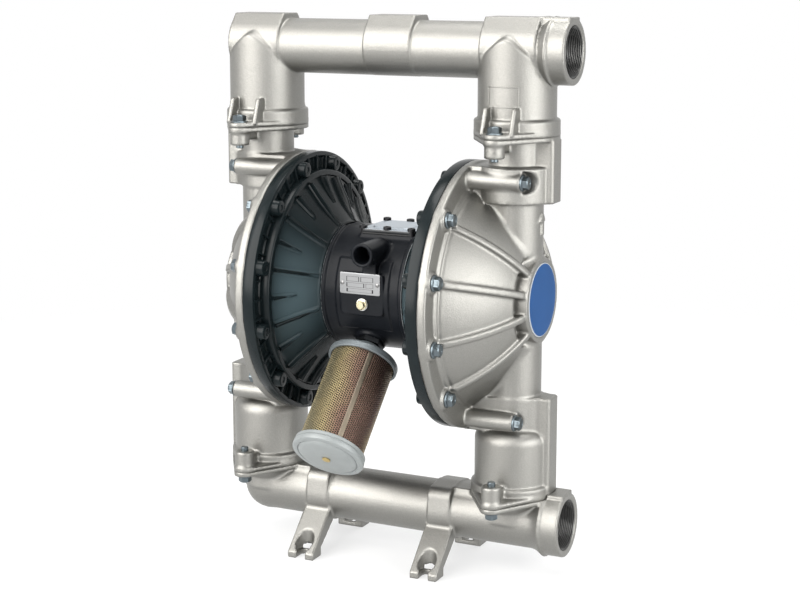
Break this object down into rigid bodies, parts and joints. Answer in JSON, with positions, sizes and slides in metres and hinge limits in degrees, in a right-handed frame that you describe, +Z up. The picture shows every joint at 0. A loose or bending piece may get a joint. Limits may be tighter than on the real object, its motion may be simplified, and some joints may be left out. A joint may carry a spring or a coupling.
{
  "type": "air operated double diaphragm pump",
  "caption": "air operated double diaphragm pump with a cast stainless fluid section, a black air motor, screwed side ports, ball check valves and an exhaust muffler",
  "frame": {"origin": "on the floor at the middle of the four feet, under the centre of the air motor", "axes": "+X along the diaphragm shaft towards the side of the ports, -Y the front with the air inlet, +Z up"},
  "size_m": [0.463, 0.3584, 0.68],
  "materials": {
    "cast_stainless": "bead blasted casting, fine satin grain",
    "cover_enamel": "black epoxy, semi gloss",
    "housing_enamel": "black epoxy, satin",
    "valve_cover_metal": "smooth die casting",
    "bolt_steel": "plain stainless fasteners",
    "black_screws": "blackened steel",
    "gasket_rubber": "matt",
    "diaphragm_rubber": "matt",
    "plate_aluminium": "as cast",
    "plate_stainless": "turned",
    "shaft_chrome": "ground",
    "bushing_brass": "turned",
    "seat_stainless": "turned",
    "ball_plastic": "white, smooth",
    "valve_plastic": "moulded",
    "badge_blue": "domed label, blue",
    "nameplate_aluminium": "bare, brushed",
    "nipple_steel": "dark steel",
    "muffler_cap_dark": "dark grey zinc casting",
    "muffler_perforated": "yellow zinc plated perforated sheet",
    "muffler_felt": "felt",
    "muffler_cap_light": "light grey, satin"
  },
  "bodies": {
    "pump": {"air_cover_gasket_left": "gasket_rubber", "air_cover_gasket_right": "gasket_rubber", "air_cover_left": "cover_enamel", "air_cover_right": "cover_enamel", "air_cover_screws_left": "black_screws", "air_cover_screws_right": "black_screws", "badge_left": "badge_blue", "badge_right": "badge_blue", "diaphragm_left": "diaphragm_rubber", "diaphragm_right": "diaphragm_rubber", "fluid_cover_left": "cast_stainless", "fluid_cover_right": "cast_stainless", "ground_screw": "bolt_steel", "inlet_manifold": "cast_stainless", "inlet_manifold_bolts": "bolt_steel", "inlet_seat_left": "seat_stainless", "inlet_seat_right": "seat_stainless", "inlet_seat_seal_left": "gasket_rubber", "inlet_seat_seal_right": "gasket_rubber", "long_bolts_left": "bolt_steel", "long_bolts_right": "bolt_steel", "motor_housing": "housing_enamel", "muffler_bottom_cap": "muffler_cap_light", "muffler_nipple": "nipple_steel", "muffler_packing": "muffler_felt", "muffler_tie_rod": "bolt_steel", "muffler_top_cap": "muffler_cap_dark", "muffler_tube": "muffler_perforated", "nameplate": "nameplate_aluminium", "nameplate_rivets": "nameplate_aluminium", "outlet_manifold": "cast_stainless", "outlet_manifold_bolts": "bolt_steel", "outlet_seat_left": "seat_stainless", "outlet_seat_right": "seat_stainless", "outlet_seat_seal_left": "gasket_rubber", "outlet_seat_seal_right": "gasket_rubber", "rim_bolts_left": "bolt_steel", "rim_bolts_right": "bolt_steel", "shaft_bushings": "bushing_brass", "shaft_seals": "gasket_rubber", "valve_cover": "valve_cover_metal", "valve_cover_gasket": "gasket_rubber", "valve_cover_screws": "black_screws", "valve_plate": "valve_plastic"},
    "shaft_group": {"diaphragm_shaft": "shaft_chrome", "air_plate_left": "plate_aluminium", "air_plate_right": "plate_aluminium", "fluid_plate_left": "plate_stainless", "fluid_plate_right": "plate_stainless"},
    "pilot": {"pilot_rod": "shaft_chrome"},
    "carriage": {"valve_carriage": "valve_plastic"},
    "inlet_check_left": {"inlet_ball_left": "ball_plastic"},
    "inlet_check_right": {"inlet_ball_right": "ball_plastic"},
    "outlet_check_left": {"outlet_ball_left": "ball_plastic"},
    "outlet_check_right": {"outlet_ball_right": "ball_plastic"}
  },
  "joints": [
    {"name": "shaft_slide", "type": "slide", "parent": "pump", "child": "shaft_group", "axis": [1, 0, 0], "range_m": [-0.015, 0.015], "deforming": ["diaphragm_left", "diaphragm_right"]},
    {"name": "pilot_slide", "type": "slide", "parent": "pump", "child": "pilot", "axis": [1, 0, 0], "range_m": [-0.006, 0.006]},
    {"name": "carriage_slide", "type": "slide", "parent": "pump", "child": "carriage", "axis": [1, 0, 0], "range_m": [-0.006, 0.006]},
    {"name": "inlet_lift_left", "type": "slide", "parent": "pump", "child": "inlet_check_left", "axis": [0, 0, 1], "range_m": [0, 0.012]},
    {"name": "inlet_lift_right", "type": "slide", "parent": "pump", "child": "inlet_check_right", "axis": [0, 0, 1], "range_m": [0, 0.012]},
    {"name": "outlet_lift_left", "type": "slide", "parent": "pump", "child": "outlet_check_left", "axis": [0, 0, 1], "range_m": [0, 0.012]},
    {"name": "outlet_lift_right", "type": "slide", "parent": "pump", "child": "outlet_check_right", "axis": [0, 0, 1], "range_m": [0, 0.012]}
  ],
  "couplings": [
    {"joint": "pilot_slide", "follows": "shaft_slide", "ratio": 0.4}
  ]
}
